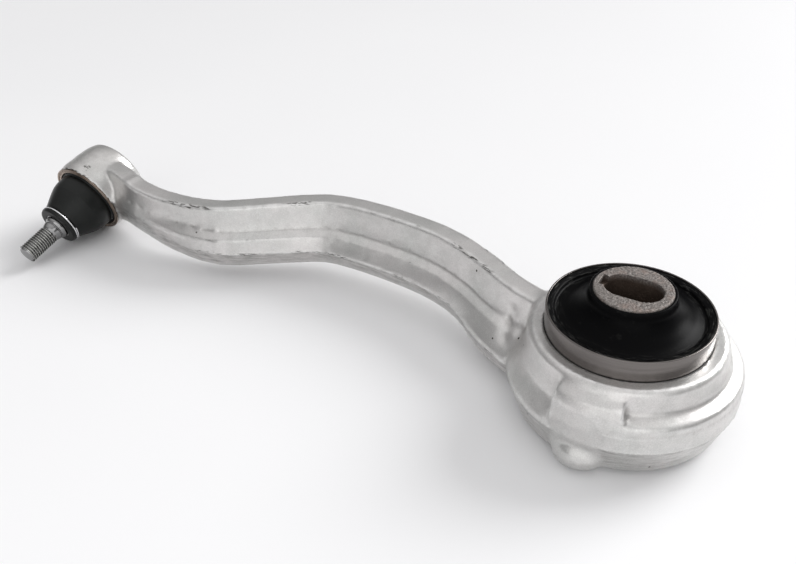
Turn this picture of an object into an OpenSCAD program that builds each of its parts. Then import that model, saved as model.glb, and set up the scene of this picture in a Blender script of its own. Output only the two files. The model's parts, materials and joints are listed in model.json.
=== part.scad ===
// Suspension control arm: a forged aluminium bar, curved like a flat S, with a
// fluid-filled rubber bush at one end and a sealed ball joint at the other.
// Millimetres. +Z is the bush axis, +X points from the bush to the ball joint,
// and the origin is the middle of the bush, on its axis.

/* [Arm] */
// Distance from the bush axis to the ball centre
arm_length = 344; // [335:1:355]
// Height of the ball centre above the middle of the bush
ball_height = -7.5; // [-9:0.5:-6]
// Angle by which the stud points down from level
stud_droop = 15; // [12:1:18]
// Width of the flat band along the top of the bar
band_width = 11.5; // [9:0.5:14]

/* [Bush eye] */
// Top face of the eye above the middle of the bush
eye_top = 11; // [9:0.5:13]
// Bottom face of the eye
eye_bottom = -30; // [-31:0.5:-28]
// Outer radius of the machined top land
land_radius = 43; // [42:0.5:45]
// Outer radius of the forged body of the eye
eye_radius = 51; // [49:0.5:53]

/* [Bush] */
// Outer radius of the steel outer sleeve
sleeve_radius = 36; // [36:0.1:36]
// Wall of the outer sleeve
sleeve_wall = 2; // [1.5:0.5:2.5]
// Top edge of the outer sleeve
sleeve_top = 21; // [19:0.5:23]
// Half length of the inner sleeve
core_half = 32; // [31.5:0.5:34]
// Outer radius of the inner sleeve
core_radius = 17; // [16.5:0.5:18]
// Length of the slot through the inner sleeve
slot_length = 25.5; // [24:0.5:26]
// Width of the slot through the inner sleeve
slot_width = 16.5; // [14.5:0.5:17]

/* [Ball joint] */
// Radius of the ball
ball_radius = 13.5; // [13.5:0.5:13.5]
// Outer radius of the joint housing
housing_radius = 24; // [24:0.25:24.5]
// Depth of the housing behind the ball centre
housing_back = 22; // [22:0.5:24]
// Rim of the housing in front of the ball centre
housing_rim = 8; // [8:0.5:9]
// Distance from the ball centre to the end of the stud
stud_length = 61; // [58:0.5:64]
// Outer diameter of the stud's thread
thread_diameter = 12; // [12:0.5:12]
// Length of the thread
thread_length = 19; // [17:0.5:20]
// Distance from the ball centre to the boot's small ring
boot_ring_at = 32; // [31:0.5:33]

/* [Hidden] */
$fn = 72;

// Smallest running gap between parts that turn on each other
running_gap = 0.05;

// Stack of the bush, from the outside in
shell_outer = sleeve_radius - sleeve_wall;
shell_inner = shell_outer - 3;
cage_inner = shell_inner - 1.8;
chamber_half = 13;
cage_band = 5;
bush_low = eye_bottom + 1;
stop_ring = core_radius + 2;
stop_reach = 24;

// Ball joint, along the stud from the ball centre
socket_radius = 16.5;
cover_radius = 17.5;
shell_front = 5;
boot_seat = 20;
ring_seat = 6;
ring_radius = 22.6;
cover_thick = 3;
taper_start = boot_ring_at + 1;
neck_start = stud_length - thread_length - 2;
shank_radius = 6.5;
shoulder_radius = 7.6;
neck_radius = 5.1;
boot_neck_radius = 12.5;

// Stations of the bar from the bush eye to the ball joint: the middle of the top
// band (x, y), its height, the height of the underside, and how far the flanks
// stand out beyond the band on the near (+Y) side and on the far (-Y) side
stations = [
    [ 22,   1, 10,  -27, 17, 6],
    [ 42,  -5, 10,  -27, 18, 5],
    [ 60, -11, 10.6, -26, 16, 4],
    [ 82, -22, 12,  -23, 13, 4],
    [110, -31, 13.5, -21, 14, 4],
    [150, -34, 14,  -20.5, 14, 4],
    [182, -31, 13.5, -21, 13, 4],
    [210, -16, 12, -23, 11, 4],
    [238,  -1, 10, -25, 9.5, 4],
    [268,   4,  9,  -25, 5, 3],
    [296,   3, 10,  -22.5, 2.5, 3],
    [318,  -3, 12,  -23, 3, 4],
    [334,  -6, 12, -24, 5, 5]];
// Steps between two stations, and points on each rounded corner of the section
steps = 3;
corner_points = 3;

function clamp(v, low, high) = max(low, min(high, v));

// Smooth curve through a list of stations, at position t along it
function curve(list, t) =
    let (last = len(list) - 1, i = clamp(floor(t), 0, last - 1), u = t - i,
         a = list[max(i - 1, 0)], b = list[i], c = list[i + 1], d = list[min(i + 2, last)])
    0.5 * (2*b + (c - a)*u + (2*a - 5*b + 4*c - d)*u*u + (3*b - a - 3*c + d)*u*u*u);

// Closed outline whose corners [across, up, radius] are rounded by short curves
function rounded(corners) = [
    for (i = [0 : len(corners) - 1])
        let (n = len(corners), here = corners[i],
             back = corners[(i + n - 1) % n] - here, ahead = corners[(i + 1) % n] - here,
             p = [here[0], here[1]], e = [back[0], back[1]], f = [ahead[0], ahead[1]],
             start = p + e / norm(e) * here[2], end = p + f / norm(f) * here[2])
        for (k = [0 : corner_points])
            let (s = k / corner_points)
            start*(1 - s)*(1 - s) + 2*p*s*(1 - s) + end*s*s];

// Section of the bar: flat band on top, a long inner wall down to the valley,
// the crest of the low rib, the parting line, and the drafted underside
function section(top, bottom, near, far) =
    let (b = band_width / 2, deep = clamp(near / 14, 0, 1),
         valley_z = mix(top - 12, top - 16, deep), valley_u = b + mix(0, 4, deep),
         parting = bottom + 10)
    rounded([
        [-b, top, 2], [b, top, 0.9],
        [valley_u, valley_z, 3.2],
        [mix(b + near, valley_u + 4.5, deep), valley_z - mix(3, 0.5, deep), 1.6],
        [b + near, parting, 1.6],
        [b + near - 3, bottom, 3],
        [-b - far + 3, bottom, 3],
        [-b - far, parting, 1.6]]);

function mix(a, b, t) = a + (b - a) * t;

// One ring of points of the bar, square to its route
function ring(t) =
    let (s = curve(stations, t), ahead = curve(stations, t + 0.02), back = curve(stations, t - 0.02),
         along = [ahead[0] - back[0], ahead[1] - back[1]] / norm([ahead[0] - back[0], ahead[1] - back[1]]),
         side = [-along[1], along[0]])
    [for (p = section(s[2], s[3], s[4], s[5])) [s[0] + side[0]*p[0], s[1] + side[1]*p[0], p[1]]];

module bar() {
    rows = (len(stations) - 1) * steps;
    rings = [for (i = [0 : rows]) ring(i / steps)];
    n = len(rings[0]);
    faces = concat(
        [[for (k = [n - 1 : -1 : 0]) k]],
        [for (i = [0 : rows - 1]) for (k = [0 : n - 1])
            [i*n + k, (i + 1)*n + (k + 1) % n, (i + 1)*n + k]],
        [for (i = [0 : rows - 1]) for (k = [0 : n - 1])
            [i*n + k, i*n + (k + 1) % n, (i + 1)*n + (k + 1) % n]],
        [[for (k = [0 : n - 1]) rows*n + k]]);
    polyhedron(points = [for (r = rings) for (p = r) p], faces = faces, convexity = 6);
}

// Places a part whose +Z is the stud axis, with its origin at the ball centre
module at_joint() {
    translate([arm_length, 0, ball_height])
        rotate([-90 - stud_droop, 0, 0])
            children();
}

// Ring with a rectangular section
module tube(inner, outer, low, high) {
    translate([0, 0, low])
        difference() {
            cylinder(r = outer, h = high - low);
            translate([0, 0, -1])
                cylinder(r = inner, h = high - low + 2);
        }
}

// Forged body of the bush eye: top land, wall, parting line and drafted foot
module eye_body() {
    rotate_extrude()
        polygon([[sleeve_radius - 4, eye_top], [land_radius - 2, eye_top], [land_radius, eye_top - 1.4],
                 [land_radius + 1.5, -4], [eye_radius - 2, -10], [eye_radius + 0.3, -14],
                 [eye_radius - 4.6, eye_bottom + 1], [eye_radius - 6, eye_bottom],
                 [sleeve_radius - 4, eye_bottom]]);
}

// Shoulder around the part of the eye that faces away from the bar
module eye_shoulder() {
    rotate([0, 0, 96])
        rotate_extrude(angle = 222)
            polygon([[sleeve_radius - 2, -1], [land_radius + 0.6, 1.5], [land_radius + 2, 0],
                     [eye_radius - 1.4, -1], [eye_radius, -2.6], [eye_radius - 0.5, -14.5],
                     [sleeve_radius - 2, -14.5]]);
}

// Raised pad on the near side of the eye
module eye_pad() {
    rotate([0, 0, 72])
        rotate_extrude(angle = 36)
            polygon([[sleeve_radius - 2, 7], [land_radius + 2, 7], [eye_radius - 3, 4.5],
                     [eye_radius - 1.2, 1], [eye_radius - 0.2, -8], [eye_radius - 0.9, -13.5],
                     [sleeve_radius - 2, -13.5]]);
}

// Locating lug low on the near side of the eye
module eye_lug() {
    rotate([0, 0, 87])
        translate([eye_radius - 10, 0, eye_bottom])
            rotate_extrude()
                polygon([[0, -1], [9.5, -1], [12, 1.5], [13.2, 6], [11.5, 10], [0, 14]]);
}

// Outside of the joint housing, drafted towards its closed end
module housing_body() {
    at_joint()
        rotate_extrude()
            polygon([[0, -housing_back], [housing_radius - 5, -housing_back],
                     [housing_radius - 3, -housing_back + 1.5], [housing_radius - 1.6, -housing_back + 6],
                     [housing_radius - 0.4, -housing_back + 15], [housing_radius, housing_rim - 5],
                     [housing_radius - 0.6, housing_rim], [0, housing_rim]]);
}

module arm_forging() {
    color([0.78, 0.78, 0.77])
        difference() {
            union() {
                bar();
                eye_body();
                eye_shoulder();
                eye_pad();
                eye_lug();
                housing_body();
            }
            translate([0, 0, eye_bottom - 1])
                cylinder(r = sleeve_radius, h = eye_top - eye_bottom + 10);
            at_joint() {
                translate([0, 0, -housing_back - 1])
                    cylinder(r = cover_radius, h = cover_thick + 1);
                translate([0, 0, -housing_back])
                    cylinder(r = socket_radius, h = housing_back + shell_front + 0.5);
                translate([0, 0, shell_front])
                    cylinder(r = boot_seat, h = housing_rim - shell_front + 1);
                translate([0, 0, ring_seat])
                    cylinder(r = ring_radius, h = housing_rim - ring_seat + 1);
            }
        }
}

module bush_outer_sleeve() {
    color([0.62, 0.62, 0.63])
        union() {
            tube(shell_outer, sleeve_radius, bush_low, sleeve_top);
            tube(shell_outer - 1, shell_outer + 1, bush_low, bush_low + 1);
        }
}

// Ring cage with two windows, moulded into the rubber
module bush_window_cage() {
    color([0.35, 0.36, 0.38])
        difference() {
            union() {
                tube(cage_inner, shell_inner, -chamber_half - cage_band, chamber_half + cage_band);
                tube(cage_inner, shell_outer, -chamber_half - cage_band, -chamber_half - cage_band + 3);
                tube(cage_inner, shell_outer, chamber_half + cage_band - 3, chamber_half + cage_band);
            }
            for (side = [0, 180])
                rotate([0, 0, side - 50])
                    translate([0, 0, -chamber_half])
                        rotate_extrude(angle = 100)
                            translate([cage_inner - 1, 0])
                                square([shell_inner - cage_inner + 2, 2 * chamber_half]);
        }
}

// Half ring that closes a chamber window and carries the fluid channel
module channel_shell() {
    groove = 3.6;
    difference() {
        rotate([0, 0, -87])
            rotate_extrude(angle = 174)
                translate([shell_inner + 0.05, -chamber_half - 1.5])
                    square([shell_outer - shell_inner - 0.1, 2 * chamber_half + 3]);
        for (z = [-5, 5])
            rotate([0, 0, -78])
                rotate_extrude(angle = 156)
                    translate([shell_outer - 1.8, z - groove / 2])
                        square([3, groove]);
        rotate([0, 0, 70])
            translate([shell_inner - 1, 0, 5])
                rotate([0, 90, 0])
                    cylinder(d = groove, h = 5);
    }
}

module bush_channel_shell_left() {
    color([0.16, 0.16, 0.17])
        channel_shell();
}

module bush_channel_shell_right() {
    color([0.16, 0.16, 0.17])
        rotate([0, 0, 180])
            channel_shell();
}

// Rubber body: a dished ring above and below, joined by two posts beside the chambers
module bush_rubber() {
    color([0.05, 0.05, 0.05])
        difference() {
            rotate_extrude()
                polygon([[core_radius + running_gap, -core_half + 6], [core_radius + 2.5, -core_half + 7],
                         [shell_inner - 4, -21], [shell_outer, -20], [shell_outer, -chamber_half - cage_band],
                         [cage_inner, -chamber_half - cage_band], [cage_inner, chamber_half + cage_band],
                         [shell_outer, chamber_half + cage_band], [shell_outer, sleeve_top - 1],
                         [shell_outer - 2, sleeve_top - 1], [shell_outer - 4, sleeve_top - 2],
                         [core_radius + 5, sleeve_top + 1.5],
                         [core_radius + 2, core_half - 6.5], [core_radius + running_gap, core_half - 6]]);
            for (side = [0, 180])
                rotate([0, 0, side - 50])
                    translate([0, 0, -chamber_half + 1.5])
                        rotate_extrude(angle = 100)
                            translate([stop_ring, 0])
                                square([cage_inner - stop_ring + 1, 2 * chamber_half - 3]);
            translate([0, 0, -6.5])
                cylinder(r = stop_ring + 0.05, h = 13);
        }
}

// Plastic ring on the inner sleeve, with one bump block in each chamber
module bush_travel_stop() {
    color([0.75, 0.72, 0.62])
        difference() {
            union() {
                translate([0, 0, -6])
                    cylinder(r = stop_ring, h = 12);
                intersection() {
                    translate([0, 0, -6])
                        cylinder(r = stop_reach, h = 12);
                    cube([2 * stop_reach, 15, 14], center = true);
                }
            }
            translate([0, 0, -7])
                cylinder(r = core_radius, h = 14);
        }
}

module bush_inner_sleeve() {
    end_radius = slot_width / 2;
    reach = slot_length / 2 - end_radius;
    color([0.55, 0.51, 0.49])
        difference() {
            rotate_extrude()
                polygon([[0, -core_half], [core_radius - 1, -core_half], [core_radius, -core_half + 1],
                         [core_radius, core_half - 1], [core_radius - 1, core_half], [0, core_half]]);
            for (end = [-1, 1])
                translate([end * reach, 0, -core_half - 1])
                    cylinder(r = end_radius, h = 2 * core_half + 2);
            translate([-reach, -end_radius, -core_half - 1])
                cube([2 * reach, 2 * end_radius, 2 * core_half + 2]);
            translate([0, -4, core_half - 3.5])
                cube([slot_length / 2 + 1.6, 8, 5]);
        }
}

module joint_end_cover() {
    color([0.6, 0.6, 0.6])
        at_joint()
            translate([0, 0, -housing_back])
                cylinder(r = cover_radius, h = cover_thick);
}

// Plastic seat around the ball, open in front where the stud swings
module joint_bearing_shell() {
    color([0.85, 0.85, 0.8])
        at_joint()
            difference() {
                translate([0, 0, -17])
                    cylinder(r = socket_radius, h = 17 + shell_front);
                sphere(r = ball_radius + running_gap);
                translate([0, 0, 0.5])
                    cylinder(r1 = 9, r2 = ball_radius + 0.2, h = shell_front);
            }
}

// Spring ring between the bearing shell and the end cover
module joint_preload_ring() {
    color([0.5, 0.5, 0.5])
        at_joint()
            tube(ball_radius - 3, socket_radius, -housing_back + cover_thick, -17);
}

// Steel ring rolled into the mouth of the housing, over the foot of the boot
module joint_rim_ring() {
    color([0.45, 0.36, 0.28])
        at_joint()
            tube(boot_seat, ring_radius, ring_seat, housing_rim + 0.6);
}

// Rubber boot: a bell from the housing's mouth to a lip around the stud
module boot() {
    wall = 1.6;
    foot = boot_seat - 3;
    lip = 8.2;
    neck = boot_neck_radius;
    color([0.04, 0.04, 0.04])
        at_joint()
            difference() {
                rotate_extrude()
                    polygon([[foot - 1.5, shell_front], [boot_seat, shell_front], [boot_seat, housing_rim + 2],
                             [boot_seat - 0.4, housing_rim + 5], [boot_seat - 2, housing_rim + 10.5],
                             [boot_seat - 4.8, boot_ring_at - 8], [neck + 0.7, boot_ring_at - 2],
                             [neck, boot_ring_at - 0.6], [neck, boot_ring_at + 0.6],
                             [neck - 0.9, boot_ring_at + 3], [lip, boot_ring_at + 3], [lip, boot_ring_at - 1],
                             [neck - wall, boot_ring_at - 2.5], [boot_seat - 4.8 - wall, boot_ring_at - 9],
                             [boot_seat - 2 - wall, housing_rim + 9.5], [foot, housing_rim + 2],
                             [foot - 1.5, housing_rim]]);
                tube(foot, foot + 1.2, shell_front - 1, shell_front + 2);
            }
}

// Steel ring moulded into the foot of the boot
module boot_base_ring() {
    color([0.7, 0.7, 0.72])
        at_joint()
            tube(boot_seat - 3, boot_seat - 1.8, shell_front, shell_front + 2);
}

// Wire ring that clamps the boot's lip
module boot_small_clip() {
    wire = 1.1;
    color([0.9, 0.9, 0.92])
        at_joint()
            translate([0, 0, boot_ring_at])
                rotate_extrude()
                    translate([boot_neck_radius + running_gap + wire / 2, 0])
                        circle(d = wire);
}

// Steel ring inside the boot's lip, in which the stud turns
module boot_collar_ring() {
    color([0.3, 0.3, 0.32])
        at_joint()
            tube(shoulder_radius + running_gap, 8.1, boot_ring_at - 0.5, boot_ring_at + 2.5);
}

// The ball is a piece of its own, because it takes the first of the two swings
module joint_ball() {
    color([0.7, 0.7, 0.72])
        at_joint()
            sphere(r = ball_radius);
}

// Stud: shank cupped to the ball, tapered shoulder, neck and thread
module ball_stud() {
    thread_radius = thread_diameter / 2;
    color([0.55, 0.55, 0.57])
        at_joint()
            difference() {
                rotate_extrude()
                    polygon([[0, ball_radius - 4], [shank_radius, ball_radius - 4], [shank_radius, ball_radius + 4],
                             [shoulder_radius, taper_start - 6], [shoulder_radius, taper_start + 2.5],
                             [neck_radius, neck_start - 1], [neck_radius, neck_start + 1.5],
                             [thread_radius, stud_length - thread_length], [thread_radius, stud_length - 1],
                             [thread_radius - 1, stud_length], [0, stud_length]]);
                sphere(r = ball_radius + running_gap);
            }
}

arm_forging();
bush_outer_sleeve();
bush_window_cage();
bush_channel_shell_left();
bush_channel_shell_right();
bush_rubber();
bush_travel_stop();
bush_inner_sleeve();
joint_end_cover();
joint_bearing_shell();
joint_preload_ring();
joint_rim_ring();
boot();
boot_base_ring();
boot_small_clip();
boot_collar_ring();
joint_ball();
ball_stud();
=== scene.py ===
# %% [markdown]
# # Control arm
# A control arm ties a car's wheel carrier to its axle. This one is a forged aluminium bar, curved like
# a flat S, with a fluid-filled rubber bush in its big eye and a sealed ball joint at its far end.
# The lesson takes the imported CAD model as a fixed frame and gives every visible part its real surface.
# Blender works in metres here, so a length of 12 mm is written 12 * mm; profiles are drawn in millimetres.

# %% Load the frame
import json
import math

import bmesh
import bpy
import numpy as np
from mathutils import Matrix, Vector, noise


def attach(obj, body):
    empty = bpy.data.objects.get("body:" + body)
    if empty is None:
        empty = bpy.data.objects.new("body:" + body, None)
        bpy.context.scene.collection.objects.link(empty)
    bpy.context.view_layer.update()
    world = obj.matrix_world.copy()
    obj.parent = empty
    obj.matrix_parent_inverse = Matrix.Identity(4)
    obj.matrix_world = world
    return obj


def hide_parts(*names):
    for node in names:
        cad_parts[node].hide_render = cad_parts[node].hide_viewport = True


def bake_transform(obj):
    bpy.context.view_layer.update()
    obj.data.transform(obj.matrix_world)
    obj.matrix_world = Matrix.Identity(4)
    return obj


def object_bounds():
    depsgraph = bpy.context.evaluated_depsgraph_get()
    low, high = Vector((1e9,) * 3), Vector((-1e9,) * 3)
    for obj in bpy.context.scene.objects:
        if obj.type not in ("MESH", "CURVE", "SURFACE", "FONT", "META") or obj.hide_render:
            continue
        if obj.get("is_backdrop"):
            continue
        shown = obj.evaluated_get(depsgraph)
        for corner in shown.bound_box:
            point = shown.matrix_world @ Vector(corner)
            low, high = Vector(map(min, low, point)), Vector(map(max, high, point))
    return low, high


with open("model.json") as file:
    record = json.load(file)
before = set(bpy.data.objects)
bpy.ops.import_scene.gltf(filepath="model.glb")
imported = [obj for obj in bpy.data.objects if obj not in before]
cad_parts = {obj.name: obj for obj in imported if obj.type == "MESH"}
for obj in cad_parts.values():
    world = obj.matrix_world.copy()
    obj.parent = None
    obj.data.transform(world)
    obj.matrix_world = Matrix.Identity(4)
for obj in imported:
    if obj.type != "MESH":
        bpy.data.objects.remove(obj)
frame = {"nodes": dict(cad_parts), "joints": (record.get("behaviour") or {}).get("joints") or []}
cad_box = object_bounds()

mm = 0.001
nodes = frame["nodes"]
joints = {joint["name"]: joint for joint in frame["joints"]}
print("CAD box", [round(v / mm, 1) for corner in cad_box for v in corner], "mm")

# %% [markdown]
# ## Two axes to build on
# Almost everything here is round about one of two lines: the bush axis, which is the model's own Z,
# and the stud's axis, which leans down at the ball joint. The second one is read from the joint that
# spins the stud, so a turned part can be drawn flat, as radius and height, and then set on its axis.

# %% Bush axis and stud axis
def axis_frame(origin, direction):
    """Matrix whose Z runs along direction, for shapes drawn about an upright axis."""
    turn = Vector(direction).to_track_quat("Z", "Y").to_matrix().to_4x4()
    return Matrix.Translation(Vector(origin)) @ turn


BUSH = Matrix.Identity(4)
STUD = axis_frame(joints["stud_spin"]["pos_m"], joints["stud_spin"]["axis"])


def reach(node, along):
    """Lowest and highest place of a CAD node measured along the Z of a frame."""
    back = along.inverted()
    heights = [(back @ v.co).z for v in nodes[node].data.vertices]
    return min(heights), max(heights)


def girth(node, along, pick=max):
    """Largest (or, with min, smallest) distance of a CAD node from the Z of a frame."""
    back = along.inverted()
    return pick((back @ v.co).xy.length for v in nodes[node].data.vertices)


sleeve_r = girth("bush_outer_sleeve", BUSH)
sleeve_low, sleeve_top = reach("bush_outer_sleeve", BUSH)
core_r = girth("bush_inner_sleeve", BUSH)
core_low, core_top = reach("bush_inner_sleeve", BUSH)
ring_low, ring_top = reach("joint_rim_ring", STUD)
ring_r = girth("joint_rim_ring", STUD)
stud_tip = reach("ball_stud", STUD)[1]
cover_low, cover_top = reach("joint_end_cover", STUD)
cover_r = girth("joint_end_cover", STUD)
print(f"sleeve radius {sleeve_r / mm:.1f}, core {core_r / mm:.1f}, stud tip at {stud_tip / mm:.1f} mm")

# %% [markdown]
# ## Camera
# The camera stands about 40 cm off, above and to the side of the bush, and looks down along the arm.
# A short lens this close makes the eye large and the ball joint small. Its heading, tilt and roll are
# three turns, multiplied in the order in which a tripod makes them.

# %% Place the camera
heading, tilt, roll = math.radians(-57.3), math.radians(-34.58), math.radians(2.36)
camera_data = bpy.data.cameras.new("camera")
camera_data.lens = 36.18
camera_data.sensor_width = 36.0
camera_data.clip_start = 0.01
camera = bpy.data.objects.new("camera", camera_data)
bpy.context.scene.collection.objects.link(camera)
camera.matrix_world = (
    Matrix.Translation((-64.4 * mm, 283.8 * mm, 228.4 * mm))
    @ Matrix.Rotation(heading - math.pi / 2, 4, "Z")
    @ Matrix.Rotation(math.pi / 2 + tilt, 4, "X")
    @ Matrix.Rotation(-roll, 4, "Z")
)
bpy.context.scene.camera = camera
print("camera", [round(v, 3) for v in camera.matrix_world.translation])

# %% [markdown]
# ## Floor and light
# The arm lies on a plain pale table. Panels alone could light it, but their shadow changes with their
# distance, so the main light is a wide sun behind the arm, whose disc gives the shadow its soft edge.
# One panel above the camera and one to its right lift the walls that the sun leaves dark, and a pale
# sky, made once there are node helpers, fills in the rest.

# %% Floor and lamps
floor_z = cad_box[0].z - 0.0002
floor_mesh = bpy.data.meshes.new("floor")
floor_half = 60.0
floor_mesh.from_pydata(
    [(x * floor_half, y * floor_half, floor_z) for x, y in ((-1, -1), (1, -1), (1, 1), (-1, 1))],
    [], [(0, 1, 2, 3)])
floor = bpy.data.objects.new("floor", floor_mesh)
bpy.context.scene.collection.objects.link(floor)
floor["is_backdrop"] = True


def lamp(name, place, target, size, power):
    """Rectangular panel at a place, turned towards a target."""
    data = bpy.data.lights.new(name, "AREA")
    data.shape = "RECTANGLE"
    data.size, data.size_y = size
    data.energy = power
    light = bpy.data.objects.new(name, data)
    bpy.context.scene.collection.objects.link(light)
    light.matrix_world = axis_frame(place, Vector(place) - Vector(target))
    return light


middle = (cad_box[0] + cad_box[1]) / 2
sight = (camera.matrix_world.to_3x3() @ Vector((0, 0, -1)) * Vector((1, 1, 0))).normalized()
rightward = Vector((sight.y, -sight.x, 0))


def from_camera(right, away, up):
    """Place given as steps to the camera's right, away from it and upwards, from the model's middle."""
    return middle + rightward * right + sight * away + Vector((0, 0, up))


key = bpy.data.lights.new("key", "SUN")
key.energy, key.angle = 1.8, 0.55
key_light = bpy.data.objects.new("key", key)
bpy.context.scene.collection.objects.link(key_light)
key_place = from_camera(0.86, 0.45, 0.64)
key_light.matrix_world = axis_frame(key_place, key_place - middle)
lamp("near_fill", from_camera(-0.15, -1.05, 0.50), middle, (1.7, 0.9), 4.6)
lamp("side_panel", from_camera(0.95, 0.30, 0.60), middle, (0.7, 0.6), 2.2)
bpy.context.scene.view_settings.view_transform = "Standard"
print("floor at", round(floor_z / mm, 2), "mm")

# %% [markdown]
# ## Node helpers
# A procedural material is a small graph. Two helpers keep it readable: one adds a node with its inputs,
# which may be numbers or other nodes' sockets, and one starts a material with its shader and the
# piece's own Object coordinates, so that a pattern stays fixed to the metal.

# %% Helpers for node graphs
def add(tree, kind, inputs=None, **settings):
    """Adds a node; inputs maps socket names or numbers to values or to other sockets."""
    made = tree.nodes.new(kind)
    for name, value in settings.items():
        setattr(made, name, value)
    for socket, value in (inputs or {}).items():
        target = made.inputs[socket]
        if isinstance(value, bpy.types.NodeSocket):
            tree.links.new(value, target)
        else:
            target.default_value = value
    return made


def begin_material(name, **constants):
    """New material: its tree, its shader and the socket of Object coordinates."""
    made = bpy.data.materials.new(name)
    made.use_nodes = True
    tree = made.node_tree
    shader = tree.nodes["Principled BSDF"]
    for socket, value in constants.items():
        shader.inputs[socket.replace("_", " ")].default_value = value
    place = add(tree, "ShaderNodeTexCoord").outputs["Object"]
    return made, tree, shader, place


def cloud(tree, place, scale, detail=3.0, rough=0.5):
    """Soft noise, 0 to 1; scale is in bumps per metre."""
    made = add(tree, "ShaderNodeTexNoise", {"Vector": place, "Scale": scale, "Detail": detail, "Roughness": rough})
    return made.outputs["Fac"]


def ramp(tree, value, *stops):
    """Colour ramp from (position, grey or colour) stops."""
    made = add(tree, "ShaderNodeValToRGB", {"Fac": value})
    points = made.color_ramp.elements
    while len(points) < len(stops):
        points.new(0.5)
    for point, (position, shade) in zip(points, stops):
        point.position = position
        point.color = (*shade, 1) if isinstance(shade, tuple) else (shade, shade, shade, 1)
    return made.outputs["Color"]


def maths(tree, operation, a, b=0.0, clamp=False):
    return add(tree, "ShaderNodeMath", {0: a, 1: b}, operation=operation, use_clamp=clamp).outputs[0]


def tint(tree, share, a, b, blend="MIX"):
    """Mix of two colours, or of colour sockets, by share."""
    made = add(tree, "ShaderNodeMix", {"Factor": share}, data_type="RGBA", blend_type=blend)
    for socket, value in ((made.inputs[6], a), (made.inputs[7], b)):
        if isinstance(value, bpy.types.NodeSocket):
            tree.links.new(value, socket)
        else:
            socket.default_value = (*value, 1)
    return made.outputs[2]


def bump(tree, shader, height, distance, strength=1.0):
    made = add(tree, "ShaderNodeBump", {"Height": height, "Distance": distance, "Strength": strength})
    tree.links.new(made.outputs["Normal"], shader.inputs["Normal"])
    return made


print("helpers ready")

# %% [markdown]
# ## Forged aluminium
# After forging, the arm is shot-blasted: the skin is an even silver grey, finely pitted, with faint
# warm and cool clouds, a few dark specks, and rubs where edges have knocked other parts. Pale worn
# edges come from the mesh itself, as a corner attribute measured later, not from the camera's place.

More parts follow.
